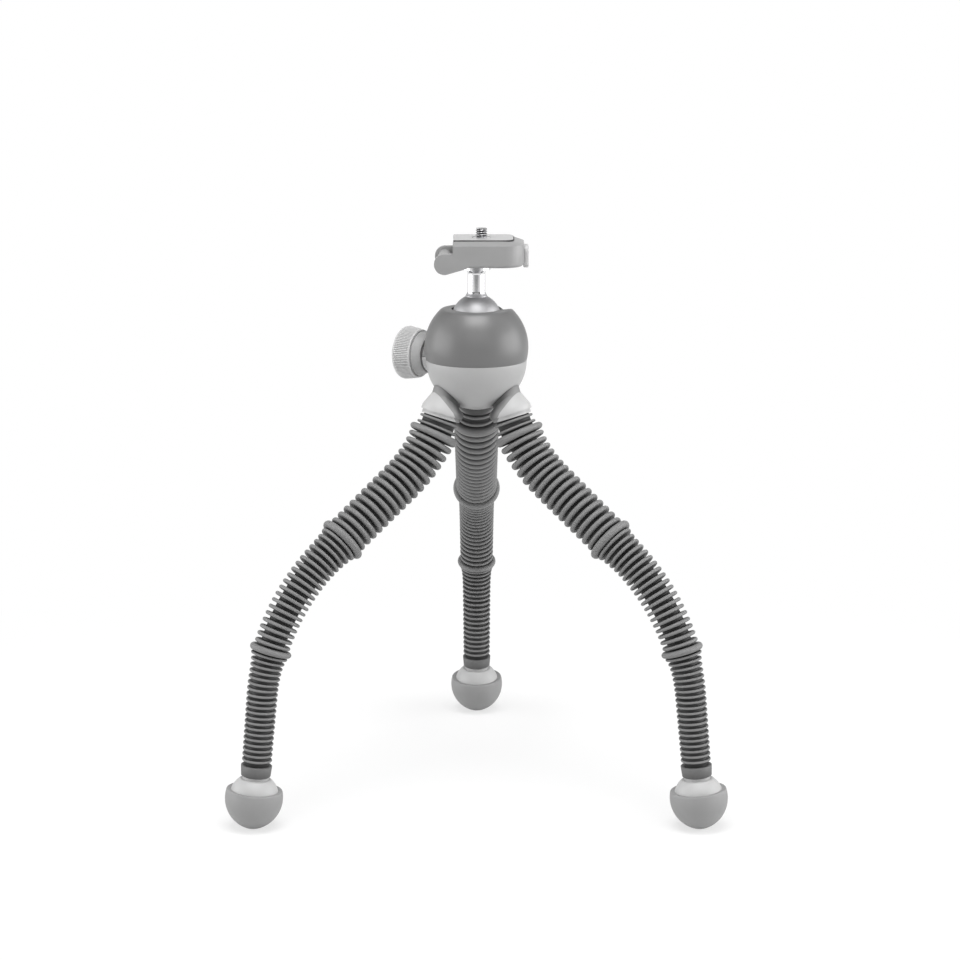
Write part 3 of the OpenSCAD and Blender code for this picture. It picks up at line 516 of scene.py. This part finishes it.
knob_outline = outline_from(neck_start, KNOB_FOOT_MM)
knob_outline += [(NECK_IN_R + t * (NECK_OUT_R - NECK_IN_R), neck_start + NECK_EDGE + t * NECK_TAPER)
                 for t in (0.33, 0.66, 1)]
knob_outline += outline_from(drum_start, KNOB_GROOVE_MM)
knob_outline += [(DRUM_FOOT_R + t ** 0.8 * (KNOB_R - DRUM_FOOT_R), drum_start + DRUM_FOOT + t * DRUM_SWELL)
                 for t in np.linspace(0.06, 1, 15)]
knob_outline += arc((KNOB_R - DRUM_ROUND, KNOB_REACH - DRUM_ROUND), DRUM_ROUND, 4, 84, 9)
knob_outline += outline_from(KNOB_REACH, KNOB_FACE_MM)
lock_knob = revolve("lock_knob_drum", knob_outline, (knob_centre, knob_axis, (0, 0, 1)),
                    turns=KNURLS * KNURL_STEPS, ripple=knurl)
smooth_by_angle(lock_knob, 32)
knob_plastic = finish("knob_plastic", grey(188), roughness=0.45, cloud=10 * MM)
# The knurl's grooves get painted shade, grey 140, in place of the shadow between its ridges.
lock_knob.data.materials.append(paint_shade_in_grooves(knob_plastic, grey(140)))
# The neck's darker grey, 160 against the drum's 188, is painted shade: the drum's own plastic with the shade
# that falls by the shell.
lock_knob.data.materials.append(finish("knob_neck_with_painted_shade", grey(160), roughness=0.5, cloud=10 * MM))
second_finish_below(lock_knob, knob_centre, knob_axis, drum_start)
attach(lock_knob, "knob")
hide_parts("lock_knob")

# Ball and stem
# A satin steel ball, and a turned and polished steel stem that pivots in it.
# The stem flares at its foot and under the disc that carries the clamp.
polished = finish("polished_steel", (0.76, 0.76, 0.77), roughness=0.09, metallic=1.0, spread=0.03,
                  cloud=6 * MM, depth=0.0)
satin = finish("satin_steel", (0.51, 0.51, 0.52), roughness=0.56, metallic=1.0, spread=0.03,
               cloud=6 * MM, depth=0.0)
paint("ball", satin)
BALL_SEAT_R = 13.86 * MM
PIVOT_R = 3.5 * MM
PIVOT_EDGE = 0.3 * MM
STEM_R = 5.05 * MM
STEM_FOOT_R = 6.0 * MM
STEM_FOOT = 0.5 * MM
FOOT_FLARE = 2.5 * MM
SATIN_FOOT = 2 * MM
STRAIGHT_MARGIN = 0.05 * MM
TOP_FLARE = 0.9 * MM
TOP_FLARE_START, TOP_FLARE_RUN = 2.4 * MM, 1.8 * MM
DISC_R = 8.1 * MM
DISC_T = 3.1 * MM
DISC_LOW_EDGE, DISC_EDGE = 0.2 * MM, 0.1 * MM
BOLT_R = 2.5 * MM
BOLT_DEPTH = 10 * MM
ball_centre = np.array(joints["stem_spin"]["pos_m"], float)
stem_low, stem_high = (corner[2] - ball_centre[2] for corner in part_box("stem"))
seat_start, seat_end = (math.degrees(math.acos(r / BALL_SEAT_R)) for r in (PIVOT_R, STEM_FOOT_R))
flare_low = BALL_SEAT_R * math.sin(math.radians(seat_end)) + STEM_FOOT
disc_low = stem_high - DISC_T
flare_high = disc_low - TOP_FLARE_START
stem_outline = [(PIVOT_R - PIVOT_EDGE, stem_low), (PIVOT_R, stem_low + PIVOT_EDGE)]
stem_outline += arc((0, 0), BALL_SEAT_R, seat_start, seat_end, 5)
stem_outline += [(STEM_R + (STEM_FOOT_R - STEM_R) * (1 - t) ** 2, flare_low + t * FOOT_FLARE)
                 for t in np.linspace(0, 1, 11)]
stem_outline += [(STEM_R, flare_low + FOOT_FLARE + STRAIGHT_MARGIN), (STEM_R, flare_high - STRAIGHT_MARGIN)]
stem_outline += [(STEM_R + TOP_FLARE * t ** 2, flare_high + t * TOP_FLARE_RUN) for t in np.linspace(0, 1, 12)]
stem_outline += [(DISC_R - DISC_LOW_EDGE, disc_low - DISC_EDGE), (DISC_R, disc_low + DISC_EDGE)]
stem_outline += [(DISC_R, stem_high - DISC_EDGE), (DISC_R - DISC_EDGE, stem_high)]
stem_outline += [(BOLT_R, stem_high), (BOLT_R, stem_high - BOLT_DEPTH)]
stem = revolve("stem_turned", stem_outline, (ball_centre, (0, 0, 1), (1, 0, 0)), turns=128)
smooth_by_angle(stem, 20)
stem.data.materials.append(polished)
stem.data.materials.append(satin)
second_finish_below(stem, ball_centre, (0, 0, 1), flare_low - STEM_FOOT + SATIN_FOOT)
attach(stem, "platform")
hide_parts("stem")

# Clamp
# A die-cast channel, painted grey, which a steel bolt holds to the stem's disc.
# A moulded button sits at one end, and a latch turns on a steel pin between two lugs at the other.
clamp_paint = finish("clamp_paint", grey(138), roughness=0.42, cloud=12 * MM)
softened("clamp_body", 0.6 * MM, clamp_paint, "platform")
softened("latch_lever", 0.6 * MM, clamp_paint, "latch")
button_plastic = finish("button_plastic", grey(176), roughness=0.45, cloud=10 * MM)
softened("release_button", 0.7 * MM, button_plastic, "button")
for fixing in ("clamp_bolt", "latch_pin"):
    paint(fixing, turned_steel)

# Plate and camera screw
# A dovetail plate of satin metal, which slides in the clamp's channel; its sides have painted shade, darker
# than its top.
# Its steel screw has a 1/4 inch thread, and a clip keeps it in the plate.
SIDE_TURN = (0.35, 0.6)


def painted_side_shade(material, shade):
    """Paints shade on the faces that look to the front, the rear and the right: a darker colour there, as of
    the shadow in the slide gap.
    """
    tree = material.node_tree
    base_colour = tree.nodes["Principled BSDF"].inputs["Base Color"]
    place = tree.nodes.new("ShaderNodeTexCoord")
    split = tree.nodes.new("ShaderNodeSeparateXYZ")
    tree.links.new(place.outputs["Normal"], split.inputs[0])
    across = maths(tree, "ABSOLUTE", split.outputs["Y"], 0.0)
    facing = maths(tree, "MAXIMUM", across, split.outputs["X"])
    sides = ramp(tree, facing, SIDE_TURN, (0.0, 1.0))
    tree.links.new(colour_mix(tree, sides, base_colour.links[0].from_socket, shade), base_colour)
    return material


# The plate's sides get painted shade, grey 40, in place of the shadow line along the channel.
plate_metal = painted_side_shade(finish("plate_paint", grey(168), roughness=0.42, cloud=10 * MM), grey(40))
softened("plate", 0.1 * MM, plate_metal, "quick_plate")
paint("screw_clip", turned_steel)
SCREW_R = 3.175 * MM
SCREW_REACH = 5.2 * MM
THREAD_PITCH = 1.27 * MM
THREAD_DEPTH = 0.62 * MM
FLANK_SLOPE, CREST_FLAT = 1.25, 0.15
LEAD_IN, LEAD_OUT = 0.3 * MM, 0.4 * MM
SCREW_HEAD_MM = [(2.0, 0.6), (2.0, 0), (6.2, 0), (6.5, 0.3), (6.5, 1.8), (6.3, 2.0), (2.85, 2.0)]
SCREW_NECK_MM = [(2.85, 0), (2.875, 0.02)]
SCREW_TIP_MM = [(2.725, -0.02), (1.2, 0)]
screw_low, screw_high = (np.array(corner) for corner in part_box("camera_screw"))
screw_place = (screw_low + screw_high) / 2 * (1, 1, 0)
thread_top = screw_high[2]
thread_low = thread_top - SCREW_REACH


def thread(angle, height, radius):
    """A right-hand thread: the radius dips once a pitch along a helix, and the dip fades at both ends."""
    turn = (height - thread_low) / THREAD_PITCH - angle / (2 * np.pi)
    valley = np.abs((turn % 1.0) - 0.5) * 2
    depth = np.clip(FLANK_SLOPE * valley - CREST_FLAT, 0, 1)
    ends = fade(height - thread_low, LEAD_IN) * fade(thread_top - height, LEAD_OUT)
    return radius - THREAD_DEPTH * depth * ends


screw_outline = outline_from(screw_low[2], SCREW_HEAD_MM) + outline_from(thread_low, SCREW_NECK_MM)
screw_outline += [(SCREW_R, thread_low + LEAD_IN + t * (SCREW_REACH - LEAD_IN - LEAD_OUT))
                  for t in np.linspace(0, 1, 60)]
screw_outline += outline_from(thread_top, SCREW_TIP_MM)
camera_screw = revolve("camera_screw_thread", screw_outline, (screw_place, (0, 0, 1), (1, 0, 0)),
                       turns=72, ripple=thread)
smooth_by_angle(camera_screw, 40)
screw_steel = finish("screw_steel", (0.5, 0.5, 0.51), roughness=0.26, metallic=1.0, cloud=3 * MM, depth=0.0)
# The thread's valleys get painted shade, near black, in place of the shadow in them.
camera_screw.data.materials.append(paint_shade_in_grooves(screw_steel, (0.05, 0.05, 0.05)))
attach(camera_screw, "screw")
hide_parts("camera_screw")

# Button spring
# A small steel coil round the button's guide pin, hidden in the clamp.
# It is built at one length and keeps it as the button goes in.
SPRING_WIRE = 0.36 * MM
SPRING_TURNS = 8
SPRING_STEPS = 24
WIRE_AROUND = 8
spring_low, spring_high = (np.array(corner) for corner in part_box("button_spring"))
spring_mid = (spring_low + spring_high) / 2
spring_r = (spring_high[2] - spring_low[2]) / 2 - SPRING_WIRE
spring_turn = np.linspace(0, 2 * np.pi * SPRING_TURNS, SPRING_TURNS * SPRING_STEPS + 1)
spring_x = np.linspace(spring_low[0] + SPRING_WIRE, spring_high[0] - SPRING_WIRE, len(spring_turn))
wire_angle = np.linspace(0, 2 * np.pi, WIRE_AROUND, endpoint=False)
wire_r = spring_r + SPRING_WIRE * np.cos(wire_angle)[None, :]
spring_points = np.stack([spring_x[:, None] + SPRING_WIRE * np.sin(wire_angle)[None, :],
                          spring_mid[1] + wire_r * np.cos(spring_turn)[:, None],
                          spring_mid[2] + wire_r * np.sin(spring_turn)[:, None]], axis=-1)


def tube_faces(rings, around):
    """Quads between the rings of a tube, each of around points, with one polygon at each end."""
    grid = np.arange(rings * around).reshape(rings, around)
    after = np.roll(grid, -1, axis=1)
    quads = np.stack([grid[:-1], grid[1:], after[1:], after[:-1]], axis=-1).reshape(-1, 4).tolist()
    return quads + [grid[0].tolist(), grid[-1][::-1].tolist()]


spring_faces = tube_faces(len(spring_turn), WIRE_AROUND)
spring = mesh_object("button_spring_coil", spring_points.reshape(-1, 3), spring_faces)
spring.data.materials.append(turned_steel)
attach(spring, "platform")
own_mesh(spring)
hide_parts("button_spring")

# Hips and links
# Pale moulded flanges that hold each leg to the lower shell, each with a steel ball stud.
# Nylon links with a ball and a socket hang below each stud, snapped into a string.
LEGS = {"rear": 90, "left": 210, "right": 330}
GROUPS = 7
# A sphere a little below the knob's centre bounds the hips' painted shade: inside it the neck is darker,
# darkest by the shell.
HOLLOW_DROP = 16 * MM
HOLLOW_R = 27 * MM
HOLLOW_EDGE = 0.2 * MM
HOLLOW_DEPTH = 5 * MM


def painted_neck_shade(material, rim_shade, deep_shade):
    """Paints shade on the hip's neck in the hollow under the lower shell: a darker colour, darkest by the
    shell.
    """
    tree = material.node_tree
    base_colour = tree.nodes["Principled BSDF"].inputs["Base Color"]
    place = tree.nodes.new("ShaderNodeTexCoord")
    reach = tree.nodes.new("ShaderNodeVectorMath")
    reach.operation = "DISTANCE"
    reach.inputs[1].default_value = knob_centre - (0, 0, HOLLOW_DROP)
    tree.links.new(place.outputs["Object"], reach.inputs[0])
    hollow_rim = HOLLOW_R - HOLLOW_EDGE
    inner = ramp(tree, reach.outputs["Value"], (hollow_rim - HOLLOW_DEPTH, hollow_rim), (0.0, 1.0))
    outer = ramp(tree, reach.outputs["Value"], (hollow_rim, HOLLOW_R), (0.0, 1.0))
    hollow = colour_mix(tree, inner, deep_shade, rim_shade)
    tree.links.new(colour_mix(tree, outer, hollow, base_colour.links[0].from_socket), base_colour)
    return material


hip_finish = finish("hip_plastic", grey(174), roughness=0.5, cloud=12 * MM)
# The neck under the shell gets painted shade: grey 128 at the hollow's rim, deepening to grey 64 by the
# shell.
hip_plastic = painted_neck_shade(hip_finish, rim_shade=grey(128), deep_shade=grey(64))
paint("hip_studs", turned_steel)
for leg in LEGS:
    softened("hip_" + leg, 0.4 * MM, hip_plastic, "housing")
    for group in range(1, GROUPS + 1):
        paint(f"links_{leg}_{group}", nylon)

# Sleeves
# One soft grey rubber moulding a leg, with thin ribs, three thick ribs and a plain band above the foot.
# Each is cut between its ribs into stretches, with one ball of the chain inside each.
HIP_LEAN, MID_LEAN, FOOT_LEAN = (math.radians(a) for a in (20, 52, 6))
UPPER_BEND, LOWER_BEND = 80 * MM, 110 * MM
MID_RUN, LOW_RUN = 58 * MM, 45 * MM
HIP_R = 22.3 * MM
FIRST_BALL, LAST_BALL = 5 * MM, 9 * MM
UP = np.array([0, 0, 1.0])
upper_end = UPPER_BEND * (MID_LEAN - HIP_LEAN)
mid_end = upper_end + MID_RUN
lower_end = mid_end + LOWER_BEND * (MID_LEAN - FOOT_LEAN)
leg_length = lower_end + LOW_RUN
hip_height = {leg: joints[leg + "_ball_1"]["pos_m"][2] + FIRST_BALL * math.cos(HIP_LEAN) for leg in LEGS}


def lean_along(s):
    """Lean of the leg from upright at distance s from the hip."""
    up = HIP_LEAN + np.clip(s, 0, upper_end) / UPPER_BEND
    return up - np.clip(s - mid_end, 0, lower_end - mid_end) / LOWER_BEND


def leg_path(s):
    """Distance from the axis and drop below the hip along the leg: two bends and two straight runs."""
    s = np.asarray(s, float)
    one = np.clip(s, 0, upper_end) / UPPER_BEND + HIP_LEAN
    two = np.clip(s - upper_end, 0, MID_RUN)
    three = MID_LEAN - np.clip(s - mid_end, 0, lower_end - mid_end) / LOWER_BEND
    four = np.clip(s - lower_end, 0, None)
    out = (UPPER_BEND * (np.cos(HIP_LEAN) - np.cos(one)) + two * np.sin(MID_LEAN)
           + LOWER_BEND * (np.cos(three) - np.cos(MID_LEAN)) + four * np.sin(FOOT_LEAN))
    drop = (UPPER_BEND * (np.sin(one) - np.sin(HIP_LEAN)) + two * np.cos(MID_LEAN)
            + LOWER_BEND * (np.sin(MID_LEAN) - np.sin(three)) + four * np.cos(FOOT_LEAN))
    return HIP_R + out, drop


def leg_direction(leg):
    """Level direction from the tripod's axis to the leg."""
    turn = math.radians(LEGS[leg])
    return np.array([math.cos(turn), math.sin(turn), 0])


def leg_point(leg, s):
    """Place of the leg's centre line at distance s from the hip."""
    out, drop = leg_path(s)
    return tuple((out * leg_direction(leg) + (hip_height[leg] - drop) * UP).tolist())


BAND_H, BAND_R = 6.2 * MM, 8.6 * MM
BAND_RIM = 0.3 * MM
BAND_TAPER, BAND_END = 0.45 * MM, 0.8 * MM
THICK_AT = np.array([12.3, 91.4, 164.9]) * MM
THICK_R = np.array([14.2, 13.9, 11.7]) * MM
THICK_T = np.array([4.2, 4.3, 3.4]) * MM
ZONE_RIBS = (2, 16, 19, 20)
ZONE_FIRST_R = np.array([11.3, 12.6, 10.7, 8.8]) * MM
ZONE_LAST_R = np.array([11.6, 12.1, 10.1, 8.3]) * MM
ZONE_FLARE = np.array([0, 0.5, 1.2, 1.4]) * MM
ZONE_T = np.array([1.6, 2.8, 1.9, 1.4]) * MM
FLARE_FADE = 0.45
CORE_R = np.array([8.0, 7.8, 6.8, 6.5]) * MM
NECK_CORE_R = 9.4 * MM
BORE_R = np.array([6.2, 6.0, 5.5, 5.2]) * MM
BORE_STEPS = 8
ROOT_FILLET = 0.22 * MM
RIB_STEPS = 9
# Crest marks set painted shade: 0 gives the full painted shade between the ribs, 1 the rubber's own colour on
# a rib's edge.
ROOT_MARK, WALL_MARK, EDGE_MARK = 0.05, 0.3, 0.55


def all_ribs():
    """Every rib as a row of distance from the hip, radius and thickness, from hip to foot."""
    starts = np.concatenate([[0], THICK_AT])
    ends = np.concatenate([THICK_AT, [leg_length - BAND_H]])
    rows = [np.stack([THICK_AT, THICK_R, THICK_T], axis=1)]
    for zone, count in enumerate(ZONE_RIBS):
        i = np.arange(count)
        at = starts[zone] + (ends[zone] - starts[zone]) * (i + 1) / (count + 1)
        share = i / max(count - 1, 1)
        radius = ZONE_FIRST_R[zone] + (ZONE_LAST_R[zone] - ZONE_FIRST_R[zone]) * share
        radius = radius + ZONE_FLARE[zone] * FLARE_FADE ** i
        rows.append(np.stack([at, radius, np.full(count, ZONE_T[zone])], axis=1))
    ribs = np.vstack(rows)
    return ribs[np.argsort(ribs[:, 0])]


def on_stretch(s, values):
    """The one of four values that holds for the bend or straight run that s lies on."""
    return values[np.searchsorted([upper_end, mid_end, lower_end], s)]


def core_at(s):
    """Radius of the sleeve between its ribs."""
    return NECK_CORE_R if s < THICK_AT[0] else on_stretch(s, CORE_R)


def rib_outline(rib):
    """One rib as rows of distance, radius and crest mark: two filleted walls and a half round edge."""
    at, radius, thick = rib
    half = thick / 2
    root = core_at(at) + ROOT_FILLET
    middle = (core_at(at) + radius) / 2
    angle = np.linspace(-np.pi / 2, np.pi / 2, RIB_STEPS)
    edge_at = at + half * np.sin(angle)
    edge_radius = radius - half + half * np.cos(angle)
    edge_mark = EDGE_MARK + (1 - EDGE_MARK) * np.cos(angle)
    low = [[at - half - ROOT_FILLET, core_at(at - half), 0],
           [at - half, root, ROOT_MARK],
           [at - half, middle, WALL_MARK]]
    high = [[at + half, middle, WALL_MARK],
            [at + half, root, ROOT_MARK],
            [at + half + ROOT_FILLET, core_at(at + half), 0]]
    return np.vstack([low, np.stack([edge_at, edge_radius, edge_mark], axis=1), high])


def band_outline():
    """The plain band at the sleeve's end as rows of distance, radius and crest mark."""
    top = leg_length - BAND_H
    return np.array([[top, core_at(leg_length), 0],
                     [top, BAND_R - BAND_RIM, 0.5],
                     [top + BAND_RIM, BAND_R, 0.6],
                     [leg_length - BAND_RIM, BAND_R - BAND_TAPER, 0.5],
                     [leg_length, BAND_R - BAND_END, 0.4]])


ribs = all_ribs()
ball_at = FIRST_BALL + np.arange(GROUPS + 1) * (leg_length - FIRST_BALL - LAST_BALL) / GROUPS
rib_tops = ribs[:, 0] - ribs[:, 2] / 2
rib_feet = ribs[:, 0] + ribs[:, 2] / 2
valleys = (rib_tops[1:] + rib_feet[:-1]) / 2
middles = (ball_at[1:] + ball_at[:-1]) / 2
cuts = valleys[np.abs(valleys[None, :] - middles[:, None]).argmin(axis=1)]
cuts = np.concatenate([[0], cuts, [leg_length]])
AROUND = 72


def sleeve_stretch(name, leg, start, end):
    """The sleeve between two cuts: ribbed outline and bore as one loop, carried round the leg's path."""
    inside = ribs[(ribs[:, 0] > start) & (ribs[:, 0] < end)]
    outline = [np.array([[start, core_at(start), 0]])] + [rib_outline(rib) for rib in inside]
    if end >= leg_length:
        outline.append(band_outline())
    else:
        outline.append(np.array([[end, core_at(end), 0]]))
    bore = np.array([[s, on_stretch(s, BORE_R), 0] for s in np.linspace(end, start, BORE_STEPS)])
    distance, radius, mark = np.vstack(outline + [bore]).T
    out, drop = leg_path(distance)
    lean = lean_along(distance)
    radial = leg_direction(leg)
    sideways = np.cross(UP, radial)
    centre = out[:, None] * radial + (hip_height[leg] - drop)[:, None] * UP
    outward = np.cos(lean)[:, None] * radial + np.sin(lean)[:, None] * UP
    angle = np.linspace(0, 2 * np.pi, AROUND, endpoint=False)
    spoke = np.cos(angle)[None, :, None] * outward[:, None, :] + np.sin(angle)[None, :, None] * sideways
    points = centre[:, None, :] + radius[:, None, None] * spoke
    grid = np.arange(len(radius) * AROUND).reshape(len(radius), AROUND)
    after = np.roll(grid, -1, axis=1)
    below = np.roll(grid, -1, axis=0)
    below_after = np.roll(after, -1, axis=0)
    quads = np.stack([grid, below, below_after, after], axis=-1).reshape(-1, 4)
    piece = mesh_object(name, points.reshape(-1, 3), quads.tolist())
    crest_heights(piece, np.repeat(mark, AROUND))
    smooth_by_angle(piece, 50)
    return piece


rubber = finish("ribbed_rubber", grey(117), roughness=0.55, cloud=10 * MM, grain=0.6 * MM, specular=0.35)
# The sleeve's valleys get painted shade, grey 50, where the crest mark falls.
rubber = paint_shade_in_grooves(rubber, grey(50))
for leg in LEGS:
    for k in range(GROUPS + 1):
        piece = sleeve_stretch(f"sleeve_{leg}_{k + 1}", leg, cuts[k], cuts[k + 1])
        piece.data.materials.append(rubber)
        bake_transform(piece)
        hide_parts("sleeve_" + leg)

# Ankles and feet
# A pale moulded dome on a short neck, which ends each leg's string of links.
# A rubber foot is moulded over the dome's lower half and stands flat on the floor.
ankle_plastic = finish("ankle_plastic", grey(171), roughness=0.48, cloud=10 * MM)
foot_rubber = finish("foot_rubber", grey(136), roughness=0.55, cloud=10 * MM, grain=0.5 * MM, specular=0.35)
FOOT_SIDE_R = 18 * MM
FOOT_R = 16 * MM
FOOT_RIM = 4.7 * MM
RIM_DROP, CUP_DROP = 0.5 * MM, 0.3 * MM
RIM_EDGE_MM = [(-0.25, -0.1), (-0.7, 0)]
DOME_R = 13.75 * MM
DOME_GAP = 0.02 * MM
DOME_DROP = 12.5 * MM
TIP_HOLE = 1.0
CUP_BOTTOM = -86
foot_tip = -math.degrees(math.acos((FOOT_SIDE_R - FOOT_R) / FOOT_SIDE_R))
foot_rim = math.degrees(math.asin((FOOT_RIM - RIM_DROP) / FOOT_SIDE_R))
cup_rim = math.degrees(math.asin((FOOT_RIM - CUP_DROP) / DOME_R))
foot_outline = arc((FOOT_R - FOOT_SIDE_R, 0), FOOT_SIDE_R, foot_tip + TIP_HOLE, foot_rim, 40)
rim_out = foot_outline[-1][0]
foot_outline += [(rim_out + across * MM, FOOT_RIM + rise * MM) for across, rise in RIM_EDGE_MM]
foot_outline += arc((0, 0), DOME_R + DOME_GAP, cup_rim, CUP_BOTTOM, 24)
for leg in LEGS:
    softened("ankle_" + leg, 0.4 * MM, ankle_plastic, "foot_" + leg)
    radial = leg_direction(leg)
    axis = math.cos(FOOT_LEAN) * UP - math.sin(FOOT_LEAN) * radial
    foot = revolve("foot_pad_" + leg, foot_outline, (leg_point(leg, leg_length + DOME_DROP), axis, radial))
    points = np.zeros(3 * len(foot.data.vertices), np.float32)
    foot.data.vertices.foreach_get("co", points)
    points[2::3] = np.maximum(points[2::3], 0)
    foot.data.vertices.foreach_set("co", points)
    foot.data.update()
    smooth_by_angle(foot, 40)
    foot.data.materials.append(foot_rubber)
    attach(foot, "foot_" + leg)
    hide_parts("foot_" + leg)
